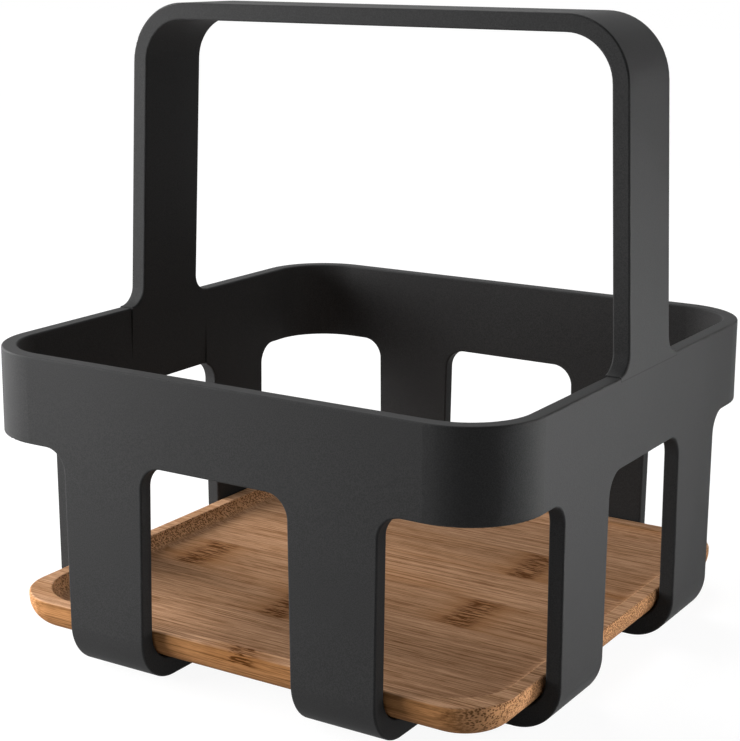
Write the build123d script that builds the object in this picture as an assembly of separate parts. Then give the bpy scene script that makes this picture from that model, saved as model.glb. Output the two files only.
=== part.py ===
from build123d import *

import os
from math import radians, tan

# Table caddy: a moulded basket on eight legs, an arched handle and a loose bamboo tray.
# Millimetres. +Z is up, the table is at z = 0 and the origin is at the middle of the footprint.
# The handle spans along X.

# Basket
width = 180.0              # outside, both ways, at the band's top edge
band_top = 94.1            # height of the band's top edge above the table
band_height = 26.6
wall = 4.75                # band and legs
floor_thickness = 6.1      # strips under the tray
corner_radius = 23.2       # outside plan radius at the band's top edge
draft_angle = 0.34         # walls lean in towards the table, degrees
leg_spacing = 78.55        # between the middles of the two legs of a side
leg_width = 28.8           # at the band's lower edge
leg_taper = 0.83           # lean of each leg edge, degrees
bend_radius = 14.4         # outside radius where a leg turns under the tray
opening_round = 7.0        # where a leg runs into the band
strip_round = 3.0          # where the strips cross
edge_round = 0.6           # broken edges of both mouldings

# Handle
handle_rise = 100.0        # top of the arch above the band
handle_width = 28.4
handle_thickness = 5.35
handle_splay = 2.02        # lean of the handle's legs, degrees
handle_corner = 19.8       # outside radius of the arch
tongue_width = 40.0        # plate that goes down inside the band
flare_lip = 0.4            # edge of the flare above the band
shoulder_depth = 1.0       # how far the handle is let into the band's outer skin
skin = 2.4                 # band wall left outside the tongue
tongue_clearance = 0.15    # at the tongue's sides and lower end

# Tray
tray_gap = 0.45            # between the tray's rim and the legs or the handle it is lifted past
corner_step = 6.8          # how much smaller the tray's corner radius is than the band's
lift_margin = 2.2          # tray's underside above the band when it is lifted clear
tray_height = 10.1
tray_floor = 6.0
rim_width = 4.5
rim_round = 0.6
underside_round = 8.5
dish_corner = 18.0         # plan radius of the dish at the rim, rounder than the tray's own corner
cove_lean = 30.0           # lean of the dish's side, degrees
cove_round = 6.0
tray_seat = 0.2            # between the tray and the strips

# Sizes that follow from the ones above
band_bottom = band_top - band_height
tray_corner = corner_radius - corner_step
past = 20.0                # how far a cutter runs beyond what it cuts
sharp_turn = 30.0          # faces that meet at a smaller angle, in degrees, count as tangent
along = 0.9                # an edge runs along an axis if this share of its direction does
round_share = 0.97         # largest share of a face's height or corner that its round takes up


def outer_half(z):
    """Half the basket's outside width at a height."""
    return width / 2 - (band_top - z) * tan(radians(draft_angle))


def leg_edge(z, side):
    """Distance from the middle of a face to a leg's inner (side -1) or outer (side +1) edge."""
    half_leg = leg_width / 2 - (band_bottom - z) * tan(radians(leg_taper))
    return leg_spacing / 2 + side * half_leg


def rounded_block(inset, bottom, top, round_bottom):
    """Drafted block with rounded corners, set in from the basket's outside faces."""
    half = outer_half(bottom) - inset
    radius = corner_radius - inset - (band_top - bottom) * tan(radians(draft_angle))
    base = Pos(0, 0, bottom) * RectangleRounded(2 * half, 2 * half, radius)
    block = extrude(base, amount=top - bottom, taper=-draft_angle)
    return fillet(block.edges().group_by(Axis.Z)[0], round_bottom)


def four_sides(shape):
    """The shape and its three copies turned about Z."""
    return [Rot(0, 0, quarter * 90) * shape for quarter in range(4)]


def side_window():
    """Opening between the two legs of the front face, on into the floor up to the strip."""
    low = leg_edge(-past, -1)
    high = leg_edge(band_bottom, -1)
    outline = make_face(Polyline(
        (-low, -past), (low, -past), (high, band_bottom), (-high, band_bottom), close=True))
    outline = fillet(outline.vertices().group_by(Axis.Y)[-1], opening_round)
    strip_edge = leg_edge(0, 1)
    return extrude(Plane.XZ.offset(strip_edge) * outline, amount=width / 2 - strip_edge + past)


def corner_window():
    """Open corner between the legs of the front face and of the right face."""
    far = width / 2 + past
    low = leg_edge(-past, 1)
    high = leg_edge(band_bottom, 1)
    outline = make_face(Polyline(
        (low, -past), (far, -past), (far, band_bottom), (high, band_bottom), close=True))
    leg_root = outline.vertices().group_by(Axis.Y)[-1].sort_by(Axis.X)[0]
    outline = fillet(leg_root, opening_round)
    from_front = extrude(Plane.XZ * outline, amount=far)
    from_side = mirror(Rot(0, 0, 90) * from_front, about=Plane.XZ)
    return from_front & from_side


def tongue_block(half_width, bottom, top, outside, inside):
    """Slab inside the +X wall, between two leaning faces given as functions of height."""
    corners = [(inside(bottom), bottom), (outside(bottom), bottom), (outside(top), top), (inside(top), top)]
    outline = make_face(Polyline(*corners, close=True))
    return extrude(Plane.XZ * outline, amount=half_width, both=True)


def pocket_face(z):
    """Where the tongue bears on the band's outer skin."""
    return outer_half(z) - skin


def handle_outside(z):
    """Half the handle's span at a height."""
    return width / 2 - (z - band_top) * tan(radians(handle_splay))


def handle_inside(z):
    """Half the gap between the handle's legs, or between its tongues, at a height."""
    return handle_outside(z) - handle_thickness


def sharp_edges(shape):
    """Edges where two faces meet at a corner, without the seams between tangent faces."""
    faces_at = {}
    for face in shape.faces():
        for edge in face.edges():
            faces_at.setdefault(edge, []).append(face)
    sharp = ShapeList()
    for edge, faces in faces_at.items():
        normals = [face.normal_at(edge @ 0.5) for face in faces]
        if len(normals) == 2 and normals[0].get_angle(normals[1]) > sharp_turn:
            sharp.append(edge)
    return sharp


def make_basket():
    outside = rounded_block(0, 0, band_top, bend_radius)
    inside = rounded_block(wall, floor_thickness, band_top + past, bend_radius - wall)
    shell = outside - inside
    shell = fillet(shell.edges().group_by(Axis.Z)[-1], edge_round)
    centre = 2 * leg_edge(0, -1)
    windows = four_sides(side_window()) + four_sides(corner_window())
    windows.append(Box(centre, centre, 2 * floor_thickness + past))
    basket = shell - windows
    crossings = basket.edges().filter_by(
        lambda edge: abs(edge.tangent_at(0.5).Z) > along
        and edge.bounding_box().max.Z < floor_thickness + edge_round
        and max(abs(edge.center().X), abs(edge.center().Y)) < leg_edge(0, 1) + edge_round)
    basket = fillet(crossings, strip_round)
    window_edges = sharp_edges(basket).filter_by(lambda edge: edge.center().Z < band_bottom + edge_round)
    basket = fillet(window_edges, edge_round)
    half_pocket = tongue_width / 2 + tongue_clearance
    pocket = tongue_block(half_pocket, band_bottom - past, band_top + past, pocket_face,
                          lambda z: handle_inside(z) - past)
    notch = tongue_block(half_pocket, band_top - shoulder_depth, band_top + past,
                         lambda z: width / 2 + past, handle_inside)
    for turn in (0, 180):
        basket -= Rot(0, 0, turn) * (pocket + notch)
    return basket


def arch_outline():
    """The handle seen from the front: two leaning legs, a level bar and the tongues below."""
    top = band_top + handle_rise
    shoulder = band_top - shoulder_depth
    foot = band_bottom + tongue_clearance
    outside = [(handle_outside(top), top), (handle_outside(shoulder), shoulder),
               (pocket_face(shoulder), shoulder), (pocket_face(foot), foot)]
    inside = [(handle_inside(foot), foot), (handle_inside(top - handle_thickness), top - handle_thickness)]
    right = outside + inside
    left = [(-x, z) for x, z in reversed(right)]
    outline = make_face(Polyline(*right, *left, close=True))
    crown = outline.vertices().group_by(Axis.Y)[-1]
    outline = fillet(crown, handle_corner)
    under_crown = outline.vertices().filter_by(
        lambda corner: abs(corner.Y - (top - handle_thickness)) < edge_round)
    return fillet(under_crown, handle_corner - handle_thickness)


def flare_outline():
    """The handle seen from the side: a strip that flares to the tongue's width at the band."""
    top = band_top + handle_rise
    flare = (tongue_width - handle_width) / 2
    half = handle_width / 2
    step = band_top + flare_lip
    edge = Line((half, top), (half, step + flare))
    curve = RadiusArc(edge @ 1, (half + flare, step), -flare)
    side = Polyline(curve @ 1, (tongue_width / 2, band_bottom), (0, band_bottom), (0, top), (half, top))
    right = make_face([edge, curve, side])
    return right + mirror(right, about=Plane.YZ)


def make_handle():
    arch = extrude(Plane.XZ * arch_outline(), amount=tongue_width / 2, both=True)
    strip = extrude(Plane.YZ * flare_outline(), amount=width / 2 + past, both=True)
    handle = arch & strip
    above_lip = band_top + flare_lip + edge_round
    long_edges = sharp_edges(handle).filter_by(lambda edge: edge.bounding_box().max.Z > above_lip)
    return fillet(long_edges, edge_round)


def make_tray():
    bottom = floor_thickness + tray_seat
    between_legs = outer_half(bottom + tray_height) - wall
    under_handle = handle_inside(band_top + lift_margin + tray_height)
    half = min(between_legs, under_handle) - tray_gap
    body = extrude(Pos(0, 0, bottom) * RectangleRounded(2 * half, 2 * half, tray_corner), amount=tray_height)
    side_height = tray_height - rim_round
    body = fillet(body.edges().group_by(Axis.Z)[0], min(underside_round, round_share * side_height))
    depth = tray_height - tray_floor
    spread = depth * tan(radians(cove_lean))
    floor_half = half - rim_width - spread
    floor_corner = dish_corner - spread
    floor = Pos(0, 0, bottom + tray_floor) * RectangleRounded(2 * floor_half, 2 * floor_half, floor_corner)
    dish = extrude(floor, amount=depth, taper=-cove_lean)
    dish = fillet(dish.edges().group_by(Axis.Z)[0], min(cove_round, round_share * floor_corner))
    tray = body - dish
    return fillet(tray.edges().group_by(Axis.Z)[-1], rim_round)


os.makedirs("parts", exist_ok=True)
nodes = {"basket": make_basket(), "handle": make_handle(), "tray": make_tray()}
for name, shape in nodes.items():
    export_step(shape, f"parts/{name}.step")
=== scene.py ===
from math import atan, cos, pi, radians, sin

import bpy
from mathutils import Matrix, Vector


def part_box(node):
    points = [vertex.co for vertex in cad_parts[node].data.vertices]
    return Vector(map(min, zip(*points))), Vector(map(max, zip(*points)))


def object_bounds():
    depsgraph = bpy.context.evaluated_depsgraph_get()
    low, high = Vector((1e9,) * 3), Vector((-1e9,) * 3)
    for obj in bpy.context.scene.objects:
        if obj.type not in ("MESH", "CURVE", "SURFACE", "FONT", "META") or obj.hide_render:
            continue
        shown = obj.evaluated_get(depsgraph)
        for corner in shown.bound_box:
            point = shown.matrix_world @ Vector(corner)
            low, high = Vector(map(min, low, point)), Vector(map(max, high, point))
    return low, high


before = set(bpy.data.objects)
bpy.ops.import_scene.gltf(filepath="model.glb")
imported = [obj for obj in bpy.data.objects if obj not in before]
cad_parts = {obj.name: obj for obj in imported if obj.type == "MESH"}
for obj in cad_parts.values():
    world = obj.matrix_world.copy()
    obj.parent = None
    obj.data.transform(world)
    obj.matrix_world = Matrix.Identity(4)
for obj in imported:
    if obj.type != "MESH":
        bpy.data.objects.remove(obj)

cad_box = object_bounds()
middle = (cad_box[0] + cad_box[1]) / 2
band_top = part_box("basket")[1].z
handle_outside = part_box("handle")[1].x
tray_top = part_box("tray")[1].z
scene = bpy.context.scene
scene.view_settings.view_transform = "Standard"

# Camera, fitted to the photograph's edges (pixels of a 740 x 741 frame, metres, degrees)
image_size = (740, 741)
focal_px = 1754.1
centre_px = (370.0, 275.0)
camera_at = Vector((0.28141, -0.45918, 0.21186))
camera_yaw = 31.957
camera_pitch = 10.608
camera_roll = 0.293
sensor_mm = 36.0
nearest_seen = 0.01

# Studio light: the even fill, then each lamp with its azimuth and height in degrees, its distance
# from the point it is aimed at, its size, and its level on a facing surface
fill_level = 0.04
softboxes = [
    ("left_softbox", -165, 15, 0.70, 0.50, 1.60),
    ("left_far_softbox", 180, 20, 1.20, 0.25, 0.32),
    ("left_front_softbox", -132, 0, 0.45, 0.22, 0.94),
    ("right_softbox", 6, 0, 0.35, 0.15, 0.34),
    ("top_softbox", 135, 70, 0.50, 0.25, 0.60),
]
# A narrow beam from the right, aimed past the near corner so that it fades towards the far end
beam_distance = 1.20
right_beam = ("right_beam", 50, 0, beam_distance, 0.08, 1.50)
beam_aim = Vector((0.090, -0.140, 0.070))
beam_radius = 0.20                   # where it fades out, around that point

# Floor: a white glow that is a little weaker near the object, and greys that take shadow and bounce light
white = (1.0, 1.0, 1.0, 1.0)
floor_half = 4.0
floor_gap = 0.0003                   # below the object
glow_reach = (0.15, 0.70)            # from the middle, where the glow starts to grow and where it is full
glow_levels = (0.93, 1.0)
shadow_grey = (0.14, 0.14, 0.14, 1.0)
bounce_grey = (0.45, 0.45, 0.45, 1.0)

# Both materials
bump_strength = 0.4
noise_range = (0.3, 0.7)             # nearly all of a noise lies in here

# Black plastic
plastic_dark = (0.0215, 0.0215, 0.0218)
plastic_light = (0.0370, 0.0370, 0.0374)
grain_noise = (3200.0, 2.0, 0.6)     # scale, detail and roughness
pit_noise = (1300.0, 1.0, 0.5)
cloud_noise = (28.0, 3.0, 0.5)
speckle_range = (0.36, 0.64)
speckle_share = 0.70
cloud_share = 0.30
pit_height = 0.8
plastic_relief = 0.00007
plastic_roughness = (0.56, 0.68)
plastic_specular = 0.07

# Painted shade: a fine dark line outside the band, where the handle sits in its notch, stands for the shade
# in the seam
seam_height = band_top - 0.0010
seam_half_width = 0.0201
seam_outside = handle_outside - 0.0015
seam_fade = (0.00025, 0.00008)       # distance from the line where it starts to show and where it is full
seam_shade_paint = ((0.006, 0.006, 0.006), 0.70)

# Bamboo board: strips lie along X, in two layers
strip_width = 0.0234
strip_start = -0.0015
layer_joint = tray_top - 0.0036
layer_shift = 0.41                   # of the upper layer's strips, as a share of their width
layer_tolerance = 0.5
strip_seed = 3.7
strip_middle = 0.5
joint_range = (0.488, 0.499)         # share of a strip's width from its middle
# Crest of the rim, its rounded top: painted lighter there, partly the wood's own tone and partly painted
# highlight and sheen
crest_range = (tray_top - 0.0018, tray_top - 0.0002)
crest_facing = (0.4, 0.9)            # upward part of the surface's normal
side_facing = (0.75, 0.20)           # the same
end_facing = (0.22, 0.62)            # part of the normal along the strips

# Fibres: changes to the metre along the strips and across them, then detail and roughness
streak_noise = (14.0, 700.0, 3.0, 0.65)
fibre_noise = (34.0, 2100.0, 2.0, 0.6)
dash_noise = (150.0, 1500.0, 2.0, 0.6)
patch_noise = (6.0, 85.0, 2.0, 0.5)
wander_noise = (1.0, 260.0, 3.0, 0.7)
bundle_stretch = (12.0, 1600.0, 1600.0)
bundle_randomness = 0.75
bundle_range = (0.56, 0.32)
patch_range = (0.50, 0.75)
# Dark lines of each noise: the range where they show, and how strong they are
streak_lines = (0.59, 0.41, 0.26)
fibre_lines = (0.56, 0.43, 0.44)
dash_lines = (0.49, 0.56, 0.20)
lines_lost_at_ends = 0.65
dots_on_faces = 0.14
dots_more_at_ends = 0.68

# Knots that show: x, y, half length across the strip, and the layer they are in
knots = [
    (0.0401, -0.0132, 0.0117, 0),
    (-0.0606, -0.0132, 0.0117, 0),
    (0.0375, 0.0336, 0.0117, 0),
    (-0.0105, -0.0365, 0.0117, 0),
    (0.0045, -0.0810, 0.0060, 1),
]
knot_wander = 0.006
knot_ends = (0.0005, -0.0015)        # past a knot's half length, where it fades out and where it is full
core_reach = (0.0075, 0.0020)        # along the strip, where it fades out and where it is full
halo_reach = (0.0170, 0.0030)
core_dashes = (0.45, 0.53)

# Bamboo colours; a paint is a colour and the share of it that shows where its mask is full
strip_pale = (0.425, 0.240, 0.133)
strip_warm = (0.500, 0.294, 0.175)
line_colour = (0.155, 0.066, 0.022)
dot_colour = (0.085, 0.033, 0.009)
core_colour = (0.085, 0.029, 0.006)
# The crest paint: partly the rim's own lighter tone, partly painted highlight and sheen
crest_tone_and_highlight_paint = ((0.640, 0.380, 0.225), 0.75)
side_paint = ((0.490, 0.220, 0.072), 0.75)
end_paint = ((0.690, 0.370, 0.185), 0.80)
patch_paint = ((0.300, 0.125, 0.038), 0.35)
joint_paint = (line_colour, 0.40)
halo_paint = ((0.225, 0.092, 0.026), 0.50)
fibre_height = 0.5
bamboo_relief = 0.00015
bamboo_roughness = (0.74, 0.64)
bamboo_specular = 0.03


def node(tree, kind, inputs=None, **settings):
    """A shader node with its settings, and with a value or a link on each named input."""
    made = tree.nodes.new("ShaderNode" + kind)
    for name, value in settings.items():
        setattr(made, name, value)
    for name, value in (inputs or {}).items():
        if isinstance(value, bpy.types.NodeSocket):
            tree.links.new(value, made.inputs[name])
        else:
            made.inputs[name].default_value = value
    return made


def calc(tree, operation, *values):
    """Result of a Math node."""
    return node(tree, "Math", dict(enumerate(values)), operation=operation).outputs[0]


def times(tree, first, second):
    """Product of two values."""
    return calc(tree, "MULTIPLY", first, second)


def apart(tree, first, second):
    """Distance between two values."""
    return calc(tree, "ABSOLUTE", calc(tree, "SUBTRACT", first, second))


def smooth(tree, value, low, high):
    """0 below low, 1 above high, smooth between; falls instead where low is above high."""
    made = node(tree, "MapRange", {"Value": value, "From Min": low, "From Max": high},
                interpolation_type="SMOOTHSTEP")
    return made.outputs["Result"]


def mapped(tree, value, source, target):
    """The value taken from one range to another, and kept inside it."""
    made = node(tree, "MapRange", {
        "Value": value, "From Min": source[0], "From Max": source[1],
        "To Min": target[0], "To Max": target[1]})
    return made.outputs["Result"]


def stretched(tree, vector, scale):
    """The vector multiplied along each axis."""
    return node(tree, "VectorMath", {0: vector, 1: scale}, operation="MULTIPLY").outputs[0]


def noise(tree, vector, scale, detail, roughness):
    """Noise from 0 to 1."""
    made = node(tree, "TexNoise", {
        "Vector": vector, "Scale": scale, "Detail": detail, "Roughness": roughness})
    return made.outputs["Fac"]


def fibres(tree, vector, along, across, detail, roughness):
    """Noise drawn out along the strips."""
    return noise(tree, stretched(tree, vector, (along, across, across)), 1.0, detail, roughness)


def mixed(tree, factor, first, second):
    """Mix of two colours."""
    made = node(tree, "Mix", {"Factor": factor}, data_type="RGBA")
    for socket, value in zip([s for s in made.inputs if s.type == "RGBA"], (first, second)):
        if isinstance(value, bpy.types.NodeSocket):
            tree.links.new(value, socket)
        else:
            socket.default_value = (*value, 1.0)
    return next(s for s in made.outputs if s.type == "RGBA")


def painted(tree, colour, mask, paint):
    """The colour with a paint laid over it."""
    over, share = paint
    return mixed(tree, times(tree, mask, share), colour, over)


def new_material(name):
    """An empty material, its node tree and its surface socket."""
    material = bpy.data.materials.new(name)
    material.use_nodes = True
    tree = material.node_tree
    tree.nodes.clear()
    surface = tree.nodes.new("ShaderNodeOutputMaterial").inputs["Surface"]
    return material, tree, surface


def set_surface(tree, surface, colour, height, relief, roughness, specular):
    """Gives a material its colour, its fine relief and its gloss."""
    bump = node(tree, "Bump", {"Height": height, "Strength": bump_strength, "Distance": relief})
    shader = node(tree, "BsdfPrincipled", {
        "Base Color": colour, "Normal": bump.outputs[0], "Specular IOR Level": specular,
        "Roughness": roughness})
    tree.links.new(shader.outputs[0], surface)


def seam_shade_mask(tree, place):
    """1 on the line where the handle meets the band's outer skin, where the seam's painted shade goes."""
    axes = node(tree, "SeparateXYZ", {0: place}).outputs
    line = smooth(tree, apart(tree, axes["Z"], seam_height), *seam_fade)
    near = calc(tree, "LESS_THAN", calc(tree, "ABSOLUTE", axes["Y"]), seam_half_width)
    outside = calc(tree, "GREATER_THAN", calc(tree, "ABSOLUTE", axes["X"]), seam_outside)
    return times(tree, line, times(tree, near, outside))


def plastic():
    """Black moulded plastic with a fine spark-eroded grain, and a painted shade line along the seam with the
    handle.
    """
    material, tree, surface = new_material("black_plastic")
    place = node(tree, "TexCoord").outputs["Object"]
    grain = noise(tree, place, *grain_noise)
    pits = noise(tree, place, *pit_noise)
    cloud = noise(tree, place, *cloud_noise)
    speckle = times(tree, smooth(tree, grain, *speckle_range), speckle_share)
    tone = calc(tree, "MULTIPLY_ADD", cloud, cloud_share, speckle)
    colour = mixed(tree, tone, plastic_dark, plastic_light)
    # Painted shade: a dark line along the seam between the handle and the band
    colour = painted(tree, colour, seam_shade_mask(tree, place), seam_shade_paint)
    height = calc(tree, "MULTIPLY_ADD", pits, pit_height, grain)
    roughness = mapped(tree, grain, noise_range, plastic_roughness)
    set_surface(tree, surface, colour, height, plastic_relief, roughness, plastic_specular)
    return material


def strip_facts(tree, axes):
    """For the strip at each point: its layer, the way across it from 0 to 1, and its chance values."""
    layer = calc(tree, "GREATER_THAN", axes["Z"], layer_joint)
    across = calc(tree, "DIVIDE", calc(tree, "SUBTRACT", axes["Y"], strip_start), strip_width)
    across = calc(tree, "MULTIPLY_ADD", layer, layer_shift, across)
    strip = calc(tree, "FLOOR", across)
    label = node(tree, "CombineXYZ", {"X": strip, "Y": layer, "Z": strip_seed}).outputs[0]
    chance = node(tree, "TexWhiteNoise", {"Vector": label}, noise_dimensions="3D").outputs
    return layer, calc(tree, "SUBTRACT", across, strip), chance


def face_masks(tree, axes, normal):
    """Where the fibres are cut across, where the tray's sides are, and where its rim has its crest, which is
    painted lighter: partly its own tone, partly painted highlight and sheen.
    """
    facing = node(tree, "SeparateXYZ", {0: normal}).outputs
    ends = smooth(tree, calc(tree, "ABSOLUTE", facing["X"]), *end_facing)
    sides = smooth(tree, facing["Z"], *side_facing)
    crest_tone_and_highlight = times(tree, smooth(tree, axes["Z"], *crest_range), smooth(tree, facing["Z"], *crest_facing))
    return ends, sides, crest_tone_and_highlight


def knot_masks(tree, axes, layer, wander, knot):
    """Where one knot marks the wood, a ragged bar across its strip: the dark core and the halo."""
    x, y, half_length, own_layer = knot
    knot_middle = calc(tree, "MULTIPLY_ADD", wander, knot_wander, x - knot_wander / 2)
    along = apart(tree, axes["X"], knot_middle)
    across = apart(tree, axes["Y"], y)
    inside = smooth(tree, across, *(half_length + past for past in knot_ends))
    inside = times(tree, inside, calc(tree, "COMPARE", layer, float(own_layer), layer_tolerance))
    core = times(tree, inside, smooth(tree, along, *core_reach))
    halo = times(tree, inside, smooth(tree, along, *halo_reach))
    return core, halo


def bamboo():
    """Laminated bamboo: strips with long fibres, knots, and dotted ends where the fibres are cut."""
    material, tree, surface = new_material("bamboo")
    coords = node(tree, "TexCoord").outputs
    place = coords["Object"]
    axes = node(tree, "SeparateXYZ", {0: place}).outputs
    ends, sides, crest_tone_and_highlight = face_masks(tree, axes, coords["Normal"])
    layer, share, chance = strip_facts(tree, axes)
    shifted = node(tree, "VectorMath", {0: chance["Color"], 1: place}, operation="ADD").outputs[0]
    streak = fibres(tree, shifted, *streak_noise)
    fibre = fibres(tree, shifted, *fibre_noise)
    dash = fibres(tree, shifted, *dash_noise)
    bundle = node(tree, "TexVoronoi", {
        "Vector": stretched(tree, shifted, bundle_stretch), "Scale": 1.0, "Randomness": bundle_randomness})
    dot = smooth(tree, bundle.outputs["Distance"], *bundle_range)

    colour = mixed(tree, chance["Value"], strip_pale, strip_warm)
    # The crest gets a painted highlight and sheen as well as its own lighter tone
    for mask, paint in ((crest_tone_and_highlight, crest_tone_and_highlight_paint), (sides, side_paint), (ends, end_paint)):
        colour = painted(tree, colour, mask, paint)
    lines = 0.0
    for value, (low, high, strength) in ((streak, streak_lines), (fibre, fibre_lines), (dash, dash_lines)):
        lines = calc(tree, "MULTIPLY_ADD", smooth(tree, value, low, high), strength, lines)
    lines = times(tree, lines, calc(tree, "MULTIPLY_ADD", ends, -lines_lost_at_ends, 1.0))
    colour = mixed(tree, lines, colour, line_colour)
    patch = fibres(tree, shifted, *patch_noise)
    colour = painted(tree, colour, smooth(tree, patch, *patch_range), patch_paint)
    dots = times(tree, dot, calc(tree, "MULTIPLY_ADD", ends, dots_more_at_ends, dots_on_faces))
    colour = mixed(tree, dots, colour, dot_colour)
    colour = painted(tree, colour, smooth(tree, apart(tree, share, strip_middle), *joint_range), joint_paint)

    wander = fibres(tree, shifted, *wander_noise)
    cores = 0.0
    halos = 0.0
    for knot in knots:
        core, halo = knot_masks(tree, axes, layer, wander, knot)
        cores = calc(tree, "MAXIMUM", cores, core)
        halos = calc(tree, "MAXIMUM", halos, halo)
    colour = painted(tree, colour, halos, halo_paint)
    colour = mixed(tree, times(tree, cores, smooth(tree, dash, *core_dashes)), colour, core_colour)

    height = calc(tree, "SUBTRACT", calc(tree, "ADD", streak, fibre), times(tree, dot, ends))
    height = times(tree, height, fibre_height)
    roughness = mapped(tree, streak, noise_range, bamboo_roughness)
    set_surface(tree, surface, colour, height, bamboo_relief, roughness, bamboo_specular)
    return material


def seen_directly(tree):
    """1 for the rays that show the background: from the camera, in a reflection or through glass."""
    path = node(tree, "LightPath").outputs
    seen = calc(tree, "MAXIMUM", path["Is Camera Ray"], path["Is Glossy Ray"])
    return calc(tree, "MAXIMUM", seen, path["Is Transmission Ray"])


def floor_material():
    """White floor that keeps a faint shadow near the object and runs out into the white background."""
    material, tree, surface = new_material("studio_floor")
    place = node(tree, "TexCoord").outputs["Object"]
    away = node(tree, "VectorMath", {0: place}, operation="LENGTH").outputs["Value"]
    level = mapped(tree, away, glow_reach, glow_levels)
    glow = node(tree, "Emission", {"Color": white, "Strength": level})
    shadowed = node(tree, "BsdfDiffuse", {"Color": shadow_grey})
    bounce = node(tree, "BsdfDiffuse", {"Color": bounce_grey})
    shown = node(tree, "AddShader", {0: glow.outputs[0], 1: shadowed.outputs[0]})
    both = node(tree, "MixShader", {0: seen_directly(tree), 1: bounce.outputs[0], 2: shown.outputs[0]})
    tree.links.new(both.outputs[0], surface)
    return material


def studio_floor():
    """Large square just under the object."""
    corners = [(x * floor_half, y * floor_half, 0.0) for x, y in ((-1, -1), (1, -1), (1, 1), (-1, 1))]
    mesh = bpy.data.meshes.new("studio_floor")
    mesh.from_pydata(corners, [], [(0, 1, 2, 3)])
    mesh.materials.append(floor_material())
    floor = bpy.data.objects.new("studio_floor", mesh)
    floor.location.z = cad_box[0].z - floor_gap
    scene.collection.objects.link(floor)


def studio_world():
    """White where it is seen, and a dim even fill as light."""
    world = bpy.data.worlds.new("studio")
    world.use_nodes = True
    scene.world = world
    tree = world.node_tree
    tree.nodes.clear()
    strength = calc(tree, "MULTIPLY_ADD", seen_directly(tree), 1.0 - fill_level, fill_level)
    glow = node(tree, "Background", {"Color": white, "Strength": strength})
    output = tree.nodes.new("ShaderNodeOutputWorld")
    tree.links.new(glow.outputs[0], output.inputs["Surface"])


def softbox(name, azimuth, height, distance, size, level, aim):
    """Square area lamp; level 1 lights a white surface that faces it, where it is aimed, to white."""
    lamp = bpy.data.lights.new(name, "AREA")
    lamp.shape = "SQUARE"
    lamp.size = size
    lamp.energy = level * (pi * distance) ** 2
    holder = bpy.data.objects.new(name, lamp)
    turn = radians(azimuth)
    rise = radians(height)
    away = Vector((cos(turn) * cos(rise), sin(turn) * cos(rise), sin(rise)))
    holder.location = aim + away * distance
    holder.rotation_euler = away.to_track_quat("Z", "Y").to_euler()
    holder.visible_camera = False
    scene.collection.objects.link(holder)
    return lamp


def narrow(lamp, slope):
    """Makes a lamp a beam that fades out at this slope from its axis, and is as bright as before on it."""
    half_angle = atan(slope)
    lamp.spread = 2 * half_angle
    lamp.energy *= 1 - half_angle / slope


def photo_camera():
    """Camera at the photograph's place, with the shift that its framing needs."""
    yaw = radians(camera_yaw)
    pitch = radians(camera_pitch)
    roll = radians(camera_roll)
    back = Vector((sin(yaw) * cos(pitch), -cos(yaw) * cos(pitch), sin(pitch)))
    level_right = Vector((cos(yaw), sin(yaw), 0.0))
    level_up = back.cross(level_right)
    right = cos(roll) * level_right + sin(roll) * level_up
    up = cos(roll) * level_up - sin(roll) * level_right
    lens = bpy.data.cameras.new("photo_camera")
    lens.sensor_width = sensor_mm
    lens.lens = focal_px * sensor_mm / max(image_size)
    lens.shift_x = (image_size[0] / 2 - centre_px[0]) / max(image_size)
    lens.shift_y = (centre_px[1] - image_size[1] / 2) / max(image_size)
    lens.clip_start = nearest_seen
    holder = bpy.data.objects.new("photo_camera", lens)
    turn = Matrix((right, up, back)).transposed().to_4x4()
    holder.matrix_world = Matrix.Translation(camera_at) @ turn
    scene.collection.objects.link(holder)
    scene.camera = holder


def dress(name, material):
    """Gives a CAD node its finished material."""
    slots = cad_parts[name].data.materials
    slots.clear()
    slots.append(material)


black = plastic()
dress("basket", black)
dress("handle", black)
dress("tray", bamboo())
studio_floor()
studio_world()
for lamp_facts in softboxes:
    softbox(*lamp_facts, middle)
narrow(softbox(*right_beam, beam_aim), beam_radius / beam_distance)
photo_camera()
